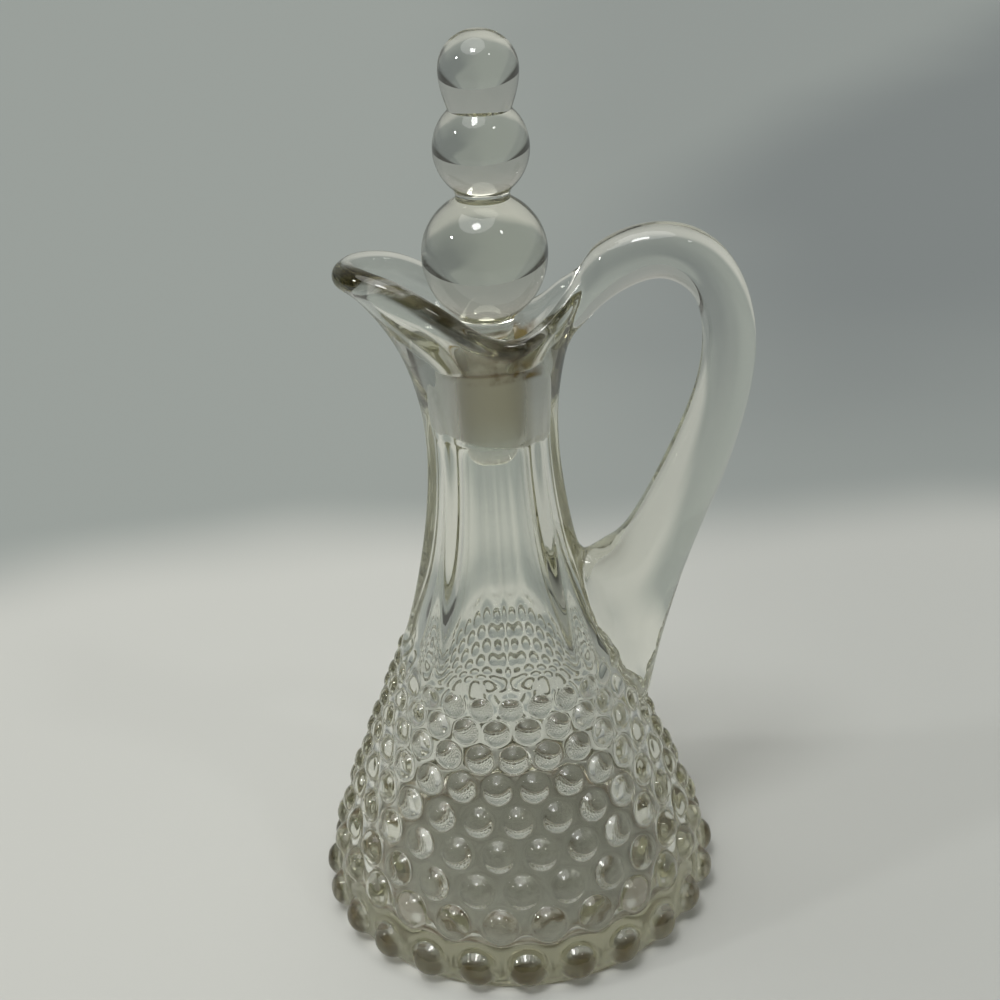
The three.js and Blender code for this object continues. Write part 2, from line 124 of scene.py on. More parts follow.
# Outer line, inner line and half width of the handle, from the rim round to the foot
HANDLE_SHAPE = (
    ((16.6, 126.8), (12.2, 113.5), 3.4),
    ((18.2, 130.8), (15.0, 116.0), 4.2),
    ((22.6, 134.0), (21.5, 122.8), 4.4),
    ((30.0, 135.7), (29.6, 126.2), 4.7),
    ((37.7, 134.1), (33.9, 124.8), 4.9),
    ((44.2, 127.8), (37.0, 121.3), 4.9),
    ((47.7, 115.5), (38.2, 114.5), 4.8),
    ((46.4, 102.5), (36.9, 104.8), 4.9),
    ((42.2, 88.7), (31.9, 92.8), 5.4),
    ((37.6, 77.6), (26.4, 81.8), 6.2),
    ((34.7, 70.0), (20.9, 74.0), 6.8),
    ((32.2, 61.8), (13.5, 72.0), 7.0),
    ((29.4, 52.0), (15.5, 60.0), 6.3),
    ((27.5, 43.4), (20.0, 45.0), 5.0),
    ((26.4, 38.6), (23.6, 38.9), 1.5),
)

# Balls of the stopper from the bottom up: radius, centre, reach up, reach down and steps
STOPPER_BALLS = (
    (10.85, 132.2, 10.9, 12.3, 12),
    (8.15, 150.6, 8.6, 8.6, 11),
    (6.7, 163.7, 6.6, 9.8, 11),
)
STOPPER_SIDES, BALL_SWELL, SHOULDER_SHARE = 32, 1.02, 0.28
TIP_DEGREES, TIP_POINT = (-72, -54, -36, -18), math.cos(math.radians(85))


def length(name, description, millimetres):
    return bpy.props.FloatProperty(
        name=name,
        description=description,
        default=millimetres * MM,
        min=0,
        unit="LENGTH",
        precision=5,
    )


def share(name, description, value):
    return bpy.props.FloatProperty(
        name=name, description=description, default=value, min=0, max=1, subtype="FACTOR"
    )


def number(name, description, value, low=0):
    return bpy.props.FloatProperty(name=name, description=description, default=value, min=low)


def count(name, description, value, low):
    return bpy.props.IntProperty(name=name, description=description, default=value, min=low)


def colour(name, description, value):
    return bpy.props.FloatVectorProperty(
        name=name, description=description, default=value, min=0, max=1, subtype="COLOR", size=3
    )


class VesselSizes(bpy.types.PropertyGroup):
    """Sizes of the vessel."""

    row_heights: bpy.props.FloatVectorProperty(
        name="Hob rows",
        description="Height of each ring of hobs above the underside",
        default=[h * MM for h in (5, 13.7, 19.9, 26.4, 32.4, 38.2, 43.4, 48.0, 52.1)],
        size=9,
        unit="LENGTH",
    )
    hob_width: share("Hob width", "Its width as a share of its place in the ring", 0.84)
    hob_length: share("Hob length", "Half its length as a share of two row steps", 0.3)
    hob_height: share("Hob height", "Its height as a share of half its width", 0.475)
    hob_edge: share("Hob edge", "How crisply a hob meets the skin", 0.12)
    foot_radius: length("Foot radius", "Radius of the flat underside", 35.6)
    foot_rounding: length("Foot rounding", "Height of the turn above the underside", 1.5)
    belly_radius: length("Belly radius", "Radius of the skin at the lowest hobs", 37.3)
    waist_radius: length("Waist radius", "Radius of the skin at the top hobs", 20.5)
    collar_narrowing: share("Collar narrowing", "Loss of radius above the waist", 0.114)
    panel_rise: length("Panel foot", "Height of the panels' feet above the top hobs", 2.4)
    panel_inset: length("Panel inset", "From the waist in to the panels' feet", 1.65)
    panel_scoop: length("Panel scoop", "Height over which a panel runs out to the skin", 4)
    neck_radius: length("Neck radius", "Radius to the flats at the narrowest ring", 10.95)
    neck_height: length("Neck height", "Height of the narrowest ring", 99)
    ridge_crease: share("Ridge crease", "Sharpness of the edges between the panels", 0.05)
    floor_thickness: length("Floor thickness", "Glass under the cavity", 4.6)
    cavity_corner: length("Cavity corner", "Radius where the wall turns into the floor", 6.4)
    body_wall: length("Body wall", "Glass round the foot of the cavity", 3.7)
    shoulder_wall: length("Shoulder wall", "Glass at the throat", 4.85)
    throat_rise: length("Throat rise", "Height of the throat above the top hobs", 14)
    neck_wall: length("Neck wall", "Glass between the flats and the bore", 4.55)
    seat_length: length("Seat length", "Height of the ground seat", 14)
    seat_taper: length("Seat taper", "Gain of radius up the seat", 0.8)
    seat_ledge: length("Seat ledge", "From the bore out to the seat", 0.4)


class LipSizes(bpy.types.PropertyGroup):
    """Sizes of the pinched lip."""

    rim_thickness: length("Rim thickness", "Thickness of the rounded rim", 2.8)
    bead: share("Bead", "How much thicker the rim is before the handle", 0.28)
    spout_bead: share("Spout bead", "The same at the tip of the spout", 0.85)
    side_room: length("Side room", "Between the seat and the sides of the rim", 1)
    spout_reach: length("Spout reach", "From the axis to the tip of the spout", 23.9)
    spout_rise: length("Spout rise", "Tip of the spout above the narrowest ring", 32)
    back_reach: length("Back reach", "From the axis to the rim at the handle", 18.6)
    back_rise: length("Back rise", "Rim at the handle above the narrowest ring", 29)
    dip_rise: length("Dip rise", "Lowest part of the rim above the narrowest ring", 19.2)
    start_rise: length("Lip start", "Start of the flare above the narrowest ring", 1.5)
    lean: share("Lean", "Share of the reach before the outside turns", 0.14)
    turn: share("Turn", "Share of the rise before the outside turns", 0.58)
    mouth_lean: share("Mouth lean", "The same lean for the inside", 0.16)
    mouth_turn: share("Mouth turn", "The same turn for the inside", 0.25)


class HandleSizes(bpy.types.PropertyGroup):
    """Sizes of the applied handle."""

    sides: count("Sides", "Corners of the rough rod", 12, 6)
    steps: count("Steps", "Rings along the rod", 24, 8)
    oval: share("Oval", "How round the rod is; 1 is an oval, and less is squarer", 0.82)
    melt: count("Melt", "Smoothing passes at the join", 14, 0)


class StopperSizes(bpy.types.PropertyGroup):
    """Sizes of the stopper."""

    stem_radius: length("Stem radius", "Radius between the plug and the lowest ball", 4.5)
    stem_rise: length("Stem rise", "Start of the stem above the seat", 3.2)
    lower_crease: length("Lower crease", "Radius between the large and middle balls", 4.6)
    upper_crease: length("Upper crease", "Radius between the middle and small balls", 5.25)
    tip_length: length("Tip length", "Rounded tip below the seat", 6.0)
    chamfer: length("Chamfer", "Bevel at both ends of the plug", 0.6)
    clearance: length("Clearance", "Gap between the plug and its seat", 0.3)
    lean: bpy.props.FloatProperty(
        name="Lean",
        description="How far the stopper leans towards the handle in its seat",
        default=math.radians(1.6),
        subtype="ANGLE",
    )


class GlassLook(bpy.types.PropertyGroup):
    """Colours and finish of the glass."""

    surface: colour("Surface", "Colour of light that passes the surface", (0.975, 0.985, 0.97))
    depth_tint: colour("Depth tint", "Colour of long ways through the glass", (0.5, 0.49, 0.22))
    depth: number("Depth", "Strength of the tint for each metre of glass", 14)
    residue: colour("Residue", "Colour of the old deposit at the seat", (0.20, 0.115, 0.02))
    dregs: colour("Dregs", "Colour of the stain round the lowest hobs", (0.10, 0.055, 0.003))
    # Painted shade: the dark that the thick rim shows in front is painted into the glass's colour
    rim: colour("Rim", "Dark of the thick rim in front", (0.06, 0.05, 0.02))
    seat: colour("Seat", "Colour of the ground seat and plug", (0.76, 0.69, 0.53))
    ground: share("Ground roughness", "Roughness of the ground seat and plug", 0.42)
    polish: share("Polish", "Roughness of the fire-polished surface", 0.02)
    index: number("Index", "Refractive index of the glass", 1.5, 1)


class StageLook(bpy.types.PropertyGroup):
    """Cloth, surroundings and lamps."""

    near_cloth: colour("Near cloth", "Pale cloth round the cruet", (0.57, 0.577, 0.54))
    # Painted light: the cloth under the foot is painted brighter in place of the light that the
    # glass gathers onto it
    foot_painted_light: colour("Foot cloth", "Bright cloth under the foot", (0.95, 0.95, 0.87))
    # Painted shade: the grey cloth further back stands in for the shade that falls on the cloth
    # rising behind the cruet
    far_painted_shade_cloth: colour("Far cloth", "Grey cloth behind the cruet", (0.318, 0.345, 0.327))
    # Painted shadow and shade: this colour paints a soft shadow on the cloth behind the handle,
    # and darker sides
    painted_shadow_cloth: colour("Shaded cloth", "Darker folds behind the handle", (0.195, 0.215, 0.215))
    room: colour("Room", "Colour of the room above", (0.40, 0.395, 0.37))
    horizon: colour("Horizon", "Colour of the room at eye level", (0.30, 0.315, 0.30))
    # Also painted onto the cloth far out beside and before the cruet, as painted dark
    surround: colour("Surround", "Dark beside and before the cloth", (0.05, 0.05, 0.046))
    soft_lamp: number("Soft lamp", "Strength of the wide lamp overhead", 1.45)
    ceiling_lamp: number("Ceiling lamp", "Strength of the smaller lamp before it", 0.75)
    left_lamp: number("Left lamp", "Strength of the small lamp on the left", 0.35)
    right_lamp: number("Right lamp", "Strength of the small lamp on the right", 0.12)


def at_rest():
    """Leaves edit mode and clears the selection."""
    if bpy.context.object and bpy.context.object.mode != "OBJECT":
        bpy.ops.object.mode_set(mode="OBJECT")
    for item in bpy.context.view_layer.objects:
        item.select_set(False)


def pick_piece(piece):
    """Selects one piece and makes it the active one."""
    at_rest()
    piece.select_set(True)
    bpy.context.view_layer.objects.active = piece


def named(name):
    """Names the piece that the last primitive started."""
    piece = bpy.context.object
    piece.name = piece.data.name = name
    return piece


def edit_mesh():
    """The mesh that is open in edit mode."""
    return bmesh.from_edit_mesh(bpy.context.object.data)


def show_edit():
    """Shows changes that were made to the open mesh."""
    bmesh.update_edit_mesh(bpy.context.object.data)


def mark_points(name, number):
    """Gives each point a number, which the points extruded from it keep."""
    mesh = edit_mesh()
    marks = mesh.verts.layers.int.new(name)
    for vertex in mesh.verts:
        vertex[marks] = number(vertex.co)
    show_edit()


def mark_of(vertex, name):
    return vertex[edit_mesh().verts.layers.int[name]]


def pick(kind, test):
    """Selects the edges or the faces that pass a test."""
    bpy.ops.mesh.select_mode(type={"edges": "EDGE", "faces": "FACE"}[kind])
    bpy.ops.mesh.select_all(action="DESELECT")
    mesh = edit_mesh()
    for part in getattr(mesh, kind):
        if test(part):
            part.select_set(True)
    mesh.select_flush_mode()
    show_edit()


def begin_ring(name, sides, radius, height):
    """Starts a piece from a bare circle and leaves its ring picked in edit mode."""
    at_rest()
    bpy.ops.mesh.primitive_circle_add(
        vertices=sides, radius=radius, fill_type="NOTHING", location=(0, 0, height)
    )
    bpy.ops.object.transform_apply(location=True, rotation=True, scale=True)
    piece = named(name)
    bpy.ops.object.mode_set(mode="EDIT")
    bpy.ops.mesh.select_mode(type="EDGE")
    bpy.ops.mesh.select_all(action="SELECT")
    mark_points("ring", lambda point: 0)
    return piece


def next_ring(radius=None, height=None, spot=None):
    """Extrudes the picked ring to a round one, or to where spot puts each of its points.

    Returns the new ring's number.
    """
    mesh = edit_mesh()
    picked = [v for v in mesh.verts if v.select]
    number = picked[0][mesh.verts.layers.int["ring"]] + 1
    rise = 0 if height is None else height - sum(v.co.z for v in picked) / len(picked)
    bpy.ops.mesh.extrude_region_move(TRANSFORM_OT_translate={"value": (0, 0, rise)})
    mesh = edit_mesh()
    if radius is not None:
        old = sum(v.co.xy.length for v in mesh.verts if v.select) / len(picked)
        bpy.ops.transform.resize(
            value=(radius / old, radius / old, 1), center_override=(0, 0, height)
        )
        mesh = edit_mesh()
    rings = mesh.verts.layers.int["ring"]
    for vertex in mesh.verts:
        if vertex.select:
            vertex[rings] = number
            if spot:
                vertex.co = spot(vertex)
    show_edit()
    return number


def column_of(point):
    """Which of the vessel's upright columns a point is nearest to."""
    return round(math.atan2(point.y, point.x) / COLUMN_TURN) % COLUMNS


def pick_rings(wanted):
    """Selects the edges that run round the wanted rings."""
    rings = edit_mesh().verts.layers.int["ring"]
    pick("edges", lambda e: e.verts[0][rings] == e.verts[1][rings] and e.verts[0][rings] in wanted)


def close_ring(ring):
    """Fills the hole inside one ring."""
    pick_rings((ring,))
    bpy.ops.mesh.edge_face_add()


def crease_rings(wanted, value):
    """Sharpens the edges round the wanted rings."""
    pick_rings(wanted)
    bpy.ops.transform.edge_crease(value=value)


def face_out():
    """Turns every face of the open mesh outwards."""
    bpy.ops.mesh.select_all(action="SELECT")
    bpy.ops.mesh.normals_make_consistent(inside=False)


def smooth_out(piece, levels):
    """Rounds the rough shape with a subdivision surface and applies it."""
    pick_piece(piece)
    bpy.ops.object.modifier_add(type="SUBSURF")
    rounding = piece.modifiers[-1]
    rounding.levels = rounding.render_levels = levels
    rounding.use_limit_surface = True
    bpy.ops.object.modifier_apply(modifier=rounding.name)


def polish(piece, degrees):
    """Shades the piece smooth, keeping edges sharper than the angle."""
    pick_piece(piece)
    bpy.ops.object.shade_smooth_by_angle(angle=math.radians(degrees))


def polar(radius, angle, height):
    return Vector((radius * math.cos(angle), radius * math.sin(angle), height))


def curve(*points):
    return [Vector(point) for point in points]


def bezier(points, t):
    """The point at share t of a Bezier curve."""
    while len(points) > 1:
        points = [a.lerp(b, t) for a, b in zip(points, points[1:])]
    return points[0]


def radius_at(points, height):
    """Radius of a rising Bezier outline at one height, found by halving."""
    low, high = 0.0, 1.0
    for _ in range(36):
        middle = (low + high) / 2
        if bezier(points, middle).y < height:
            low = middle
        else:
            high = middle
    return bezier(points, low).x


def path_point(points, t, closed=False):
    """A point on the even, centripetal curve through the given points."""
    count = len(points)
    place = t * (count if closed else count - 1)
    step = int(place) if closed else min(int(place), count - 2)
    local = place - step
    if closed:
        a, b, c, d = (points[(step + k) % count] for k in (-1, 0, 1, 2))
    else:
        b, c = points[step], points[step + 1]
        a = points[step - 1] if step else 2 * b - c
        d = points[step + 2] if step + 2 < count else 2 * c - b
    knots = [0.0]
    for start, end in ((a, b), (b, c), (c, d)):
        knots.append(knots[-1] + max((end - start).length ** 0.5, 1e-6))
    now = knots[1] + local * (knots[2] - knots[1])
    row = [a, b, c, d]
    for spans in (((0, 1), (1, 2), (2, 3)), ((0, 2), (1, 3)), ((1, 2),)):
        row = [
            row[k].lerp(row[k + 1], (now - knots[low]) / (knots[high] - knots[low]))
            for k, (low, high) in enumerate(spans)
        ]
    return row[0]


class Outline:
    """Outside and inside of the vessel, as radius against height."""

    def __init__(self, sizes):
        self.sizes = sizes
        self.rows = list(sizes.row_heights)
        belly, waist = self.rows[0], self.rows[-1]
        self.belly, self.waist = belly, waist
        self.foot_curve = curve(
            (sizes.foot_radius, 0),
            (sizes.belly_radius, sizes.foot_rounding),
            (sizes.belly_radius, belly),
        )
        low, high = curve((sizes.belly_radius, belly), (sizes.waist_radius, waist))
        full = [Vector(fullness) * MM for fullness in (BELLY_FULLNESS, WAIST_FULLNESS)]
        self.flank_curve = [low, low + full[0], high + full[1], high]
        self.panel_foot = waist + sizes.panel_rise
        foot_radius = sizes.waist_radius - sizes.panel_inset
        narrowing = foot_radius - sizes.neck_radius
        third = (sizes.neck_height - self.panel_foot) / 3
        self.panel_curve = curve(
            (foot_radius, self.panel_foot),
            (foot_radius - 0.6 * narrowing, self.panel_foot + third),
            (sizes.neck_radius + 0.02 * narrowing, sizes.neck_height - third),
            (sizes.neck_radius, sizes.neck_height),
        )
        self.bore = sizes.neck_radius - sizes.neck_wall
        self.seat_bottom = self.bore + sizes.seat_ledge
        self.seat_top = self.seat_bottom + sizes.seat_taper
        self.seat_height = sizes.neck_height + sizes.seat_length

    def skin(self, height):
        """Radius of the skin that carries the hobs."""
        if height <= self.belly:
            return radius_at(self.foot_curve, max(height, 0))
        if height <= self.waist:
            return radius_at(self.flank_curve, height)
        return self.sizes.waist_radius - self.sizes.collar_narrowing * (height - self.waist)

    def flat(self, height):
        """Radius to the middle of a panel, scooped out to the skin at its foot."""
        panel = radius_at(self.panel_curve, min(height, self.sizes.neck_height))
        climbed = min((height - self.panel_foot) / self.sizes.panel_scoop, 1)
        return panel + (self.skin(height) - panel) * (1 - climbed) ** 2

    def outside(self, height, column):
        """Radius of the skin, or of the panel that is cut into it."""
        if height < self.panel_foot:
            return self.skin(height)
        angle = (column % PANEL_COLUMNS - PANEL_COLUMNS / 2) * COLUMN_TURN
        return min(self.skin(height), self.flat(height) / math.cos(angle))

    def skin_point(self, angle, height, lift):
        """A point over the skin, lifted along its normal."""
        tilt = self.tilt(height)
        radius = self.skin(height) + lift * math.cos(tilt)
        return polar(radius, angle, height + lift * math.sin(tilt))

    def tilt(self, height):
        """How far the skin's normal looks up."""
        return math.atan((self.skin(height - MM / 2) - self.skin(height + MM / 2)) / MM)

    def step_above(self, row):
        """Height from one row of hobs to the next."""
        lower = min(row, len(self.rows) - 2)
        return self.rows[lower + 1] - self.rows[lower]

    def hob(self, row):
        """Half width, half length up the slope and height of the hobs in a row."""
        sizes = self.sizes
        pitch = 2 * COLUMN_TURN * self.skin(self.rows[row])
        below = self.step_above(row - 1) if row else 2 * self.rows[0]
        half_width = sizes.hob_width * pitch / 2
        rise = sizes.hob_length * (below + self.step_above(row))
        half_length = min(half_width, rise / math.cos(self.tilt(self.rows[row])))
        return half_width, half_length, sizes.hob_height * half_width

    def cell_edge(self, row, column):
        """Height of the zigzag line between one ring of hobs and the next."""
        low = self.rows[row] if row >= 0 else 0
        step = self.step_above(row) if row >= 0 else self.rows[0]
        over_hob = (column + max(row, 0)) % 2 == 0
        if row < 0:
            return step * FOOT_ZIGZAG[0 if over_hob else 1]
        return low + step * (2 / 3 if over_hob else 1 / 3)

    def outside_point(self, height, column):
        """A point of the outside at one height of a column."""
        return polar(self.outside(height, column), column * COLUMN_TURN, height)

    def cell_corner(self, row, column):
        """A corner of the cells that become the hobs."""
        return self.outside_point(self.cell_edge(row, column), column)

    def cavity_rings(self):
        """Radius and height of each ring from the seat down to the floor."""
        sizes = self.sizes
        foot = sizes.floor_thickness + sizes.cavity_corner
        wide = self.skin(foot) - sizes.body_wall
        throat_height = self.waist + sizes.throat_rise
        throat = radius_at(self.panel_curve, throat_height) - sizes.shoulder_wall
        rise = throat_height - foot
        climb = sizes.neck_height - throat_height
        lean = (wide - throat) / rise
        throat_curve = curve(
            (throat, throat_height),
            (throat - lean * climb / 6, throat_height + climb / 6),
            (self.bore, throat_height + climb / 2),
            (self.bore, sizes.neck_height - MM),
        )
        wall_curve = curve(
            (wide, foot),
            (wide - 0.12 * (wide - throat), foot + rise / 5),
            (throat + lean * rise / 4, throat_height - rise / 4),
            (throat, throat_height),
        )
        rings = [bezier(throat_curve, t) for t in THROAT_SHARES]
        rings += [bezier(wall_curve, t) for t in WALL_SHARES]
        for turn in map(math.radians, CORNER_DEGREES):
            rings.append((
                wide - sizes.cavity_corner * (1 - math.cos(turn)),
                foot - sizes.cavity_corner * math.sin(turn),
            ))
        rings.append((wide / 3, sizes.floor_thickness))
        return rings


class Lip:
    """Walls and rounded edge of the lip at each column."""

    def __init__(self, outline, sizes):
        self.outline = outline
        self.sizes = sizes
        self.edge_radius = sizes.rim_thickness / 2
        neck_height = outline.sizes.neck_height
        half_width = outline.seat_top + sizes.side_room + self.edge_radius
        side = []
        for along, across, up in RIM_SHAPE:
            reach = sizes.back_reach if along > 0 else sizes.spout_reach
            rise = sizes.back_rise if along > 0 else sizes.spout_rise
            height = neck_height + sizes.dip_rise + up * (rise - sizes.dip_rise)
            side.append(Vector((along * reach, across * half_width, height)))
        mirrored = [Vector((p.x, -p.y, p.z)) for p in reversed(side[1:-1])]
        self.rim = side + mirrored

    def rim_point(self, column):
        """Middle of the rounded edge at a column."""
        return path_point(self.rim, (column % COLUMNS) / COLUMNS, closed=True)

    def section(self, column):
        """Middle and axes of the rounded edge at a column, and the walls' Bezier points."""
        outline, sizes = self.outline, self.sizes
        neck_height = outline.sizes.neck_height
        out = polar(1, column * COLUMN_TURN, 0)
        centre = self.rim_point(column)
        along = self.rim_point(column + 0.1) - self.rim_point(column - 0.1)
        away = Vector((along.y, -along.x, 0)).normalized()
        reach = centre.xy.length
        start = out * outline.outside(neck_height, column)
        start.z = neck_height + sizes.start_rise
        neck_radius = outline.outside(neck_height, 0)
        lean = out * (neck_radius + sizes.lean * (reach - neck_radius))
        lean.z = start.z + sizes.turn * (centre.z - start.z)
        rise = centre - lean
        wall = (away * max(rise.dot(away), 0) + Vector((0, 0, rise.z))).normalized()
        side = away * wall.z - Vector((0, 0, wall.dot(away)))
        seat = out * outline.seat_top
        seat.z = outline.seat_height
        mouth = out * (outline.seat_top + sizes.mouth_lean * (reach - outline.seat_top))
        mouth.z = seat.z + sizes.mouth_turn * (centre.z - seat.z)
        return centre, side, wall, (start, lean), (mouth, seat)

    def bead(self, column):
        """Axes, middle and radius of the thick rim at a column."""
        centre, side, wall, _, _ = self.section(column)
        forward = -math.cos(column * COLUMN_TURN)
        bead = self.sizes.bead * min(1 + forward, 1)
        bead += (self.sizes.spout_bead - self.sizes.bead) * max(forward, 0)
        centre = centre + (side * BEAD_OVERHANG - wall) * (bead * self.edge_radius)
        return side, wall, centre, self.edge_radius * (1 + bead)

    def edge(self, column, degrees):
        """A point round the thick rim."""
        side, wall, centre, radius = self.bead(column)
        turn = math.radians(degrees)
        return centre + (side * math.cos(turn) + wall * math.sin(turn)) * (radius * EDGE_SWELL)

    def wall_end(self, column, way):
        """Where the outside or the inside of the wall meets the thick rim."""
        side, wall, centre, radius = self.bead(column)
        return centre - wall * (radius * 1.1) + side * (way * self.edge_radius * 0.9)

    def outside(self, column, t):
        """A point on the outer wall, from the neck up."""
        _, _, _, (start, lean), _ = self.section(column)
        return bezier([start, lean, self.wall_end(column, 1)], t)

    def inside(self, column, t):
        """A point on the inner wall, from the rim down."""
        _, _, _, _, (mouth, seat) = self.section(column)
        return bezier([self.wall_end(column, -1), mouth, seat], t)


def raise_vessel(sizes, lip_sizes):
    """Builds the vessel's rough shape ring by ring, up the outside and down the inside."""
    outline = Outline(sizes)
    lip = Lip(outline, lip_sizes)
    piece = begin_ring("vessel_glass", COLUMNS, sizes.foot_radius * 0.97, 0)
    next_ring(sizes.foot_radius, 0)
    for row in range(-1, len(outline.rows)):
        next_ring(spot=lambda vertex: outline.cell_corner(row, column_of(vertex.co)))
    for part in NECK_SHARES:
        height = outline.panel_foot + part * (sizes.neck_height - outline.panel_foot)
        neck = next_ring(spot=lambda vertex: outline.outside_point(height, column_of(vertex.co)))

    mark_points("column", column_of)
    rings = [(lip.outside, part) for part in OUTSIDE_SHARES]
    rings += [(lip.edge, degrees) for degrees in EDGE_DEGREES]
    rings += [(lip.inside, part) for part in INSIDE_SHARES]
    for where, along in rings:
        seat = next_ring(spot=lambda vertex: where(mark_of(vertex, "column"), along))
    next_ring(outline.seat_top - 0.05 * MM, outline.seat_height - 0.7 * MM)
    next_ring(outline.seat_bottom, sizes.neck_height + 0.5 * MM)
    seat_foot = next_ring(outline.seat_bottom, sizes.neck_height)
    for radius, height in outline.cavity_rings():
        last = next_ring(radius, height)
    close_ring(last)
    close_ring(0)
    crease_rings((1,), FOOT_CREASE)
    crease_rings((seat, seat_foot), SEAT_CREASE)
    return piece, outline, neck


def raise_hobs(outline, edge):
    """Turns the staggered cells into hobs: dissolve, inset, lift."""
    rings = edit_mesh().verts.layers.int["ring"]
    first, last = 2, len(outline.rows) + 2

    def under_a_hob(e):
        low, high = sorted(v[rings] for v in e.verts)
        if high != low + 1 or not first <= low < last:
            return False
        return (column_of(e.verts[0].co) + low - first) % 2 == 0

    pick("edges", under_a_hob)
    bpy.ops.mesh.dissolve_edges(use_verts=False, use_face_split=False)
    pick("faces", lambda f: len(f.verts) == 6)
    for radius_share, lift_share, crease in HOB_RINGS:
        bpy.ops.mesh.inset(thickness=0.1 * MM, use_individual=True)
        if crease:
            bpy.ops.transform.edge_crease(value=edge)
        mesh = edit_mesh()
        for face in mesh.faces:
            if face.select:
                settle_hob(outline, face, radius_share, lift_share)
        show_edit()


def settle_hob(outline, face, radius_share, lift_share):
    """Puts the six corners of a hob's ring on an oval over the skin."""
    middle = face.calc_center_median()
    row = min(range(len(outline.rows)), key=lambda r: abs(outline.rows[r] - middle.z))
    height = outline.rows[row]
    column = column_of(middle)
    angle = column * COLUMN_TURN
    radius = outline.skin(height)
    tilt = outline.tilt(height)
    half_width, half_length, tall = outline.hob(row)
    sixth = math.radians(60)
    for vertex in face.verts:
        off = math.atan2(vertex.co.y, vertex.co.x) - angle
        off = (off + math.pi) % (2 * math.pi) - math.pi
        turn = math.atan2((vertex.co.z - height) / math.cos(tilt), off * radius)
        turn = sixth * (round(turn / sixth - 0.5) + 0.5)
        along = half_width * radius_share * math.cos(turn)
        up = half_length * radius_share * math.sin(turn) * math.cos(tilt)
        vertex.co = outline.skin_point(angle + along / radius, height + up, tall * lift_share)


def crease_ridges(neck, value):
    """Sharpens the upright edges between the panels, up to the narrowest ring."""
    rings = edit_mesh().verts.layers.int["ring"]
    first = neck - len(NECK_SHARES) + 1

    def on_ridge(e):
        low, high = sorted(v[rings] for v in e.verts)
        upright = high == low + 1 and first <= low and high <= neck
        return upright and column_of(e.verts[0].co) % PANEL_COLUMNS == 0

    pick("edges", on_ridge)
    bpy.ops.transform.edge_crease(value=value)


def draw_handle(sizes):
    """Draws the handle out as a rough rod between its outer and inner lines."""
    outer = [Vector((x, 0, z)) * MM for (x, z), _, _ in HANDLE_SHAPE]
    inner = [Vector((x, 0, z)) * MM for _, (x, z), _ in HANDLE_SHAPE]
    widths = [Vector((i, w * MM)) for i, (_, _, w) in enumerate(HANDLE_SHAPE)]
    side_turn = 2 * math.pi / sizes.sides
    swell = 1 / (2 / 3 + math.cos(side_turn) ** sizes.oval / 3)

    def fuller(value):
        """A sine or cosine made squarer, and swelled for what the smoothing pulls in."""
        return math.copysign(abs(value) ** sizes.oval, value) * swell

    def spot(step):
        t = step / sizes.steps
        top, bottom = path_point(outer, t), path_point(inner, t)
        middle, reach = (top + bottom) / 2, (top - bottom) / 2
        half_width = path_point(widths, t).y

        def place(vertex):
            turn = mark_of(vertex, "side") * side_turn
            point = middle + reach * fuller(math.cos(turn))
            point.y = half_width * fuller(math.sin(turn))
            return point

        return place

    piece = begin_ring("handle_glass", sizes.sides, widths[0].y, 0)
    mark_points("side", lambda p: round(math.atan2(p.y, p.x) / side_turn) % sizes.sides)
    mesh = edit_mesh()
    place = spot(0)
    for vertex in mesh.verts:
        vertex.co = place(vertex)
    show_edit()
    for step in range(1, sizes.steps + 1):
        next_ring(spot=spot(step))
    close_ring(0)
    close_ring(sizes.steps)
    face_out()
    return piece


def fuse(vessel, handle, sizes):
    """Joins the handle into the vessel as one glass and melts the seam a little."""
    for piece in (vessel, handle):
        for part in (vessel, handle):
            piece.data.materials.append(bpy.data.materials.new(part.name))
    for face in handle.data.polygons:
        face.material_index = 1
    pick_piece(vessel)
    bpy.ops.object.modifier_add(type="BOOLEAN")
    join = vessel.modifiers[-1]
    join.operation = "UNION"
    join.solver = "MANIFOLD"
    join.object = handle
    bpy.ops.object.modifier_apply(modifier=join.name)
    bpy.data.objects.remove(handle)
    bpy.ops.object.mode_set(mode="EDIT")
    bpy.ops.mesh.select_all(action="SELECT")
    bpy.ops.mesh.remove_doubles(threshold=JOINED)
    pick("edges", lambda e: len({f.material_index for f in e.link_faces}) == 2)
    bpy.ops.mesh.remove_doubles(threshold=JOINED_AT_SEAM)
    for _ in range(SEAM_RINGS):
        bpy.ops.mesh.select_more()
    bpy.ops.mesh.vertices_smooth(factor=0.5, repeat=sizes.melt)
    bpy.ops.object.mode_set(mode="OBJECT")
    for face in vessel.data.polygons:
        face.material_index = 0


def ball_rings(ball, low_radius, high_radius):
    """Radius and height of each ring of a ball, swelled for what the smoothing pulls in."""
    radius, centre, up, down = (value * MM for value in ball[:4])
    steps = ball[4]
    low = -math.acos(min(low_radius / radius, 1))
    high = math.acos(min(high_radius / radius, 1))
    for i in range(steps + 1):
        turn = low + (high - low) * i / steps
        reach = down if turn < 0 else up
        yield radius * BALL_SWELL * math.cos(turn), centre + reach * math.sin(turn)


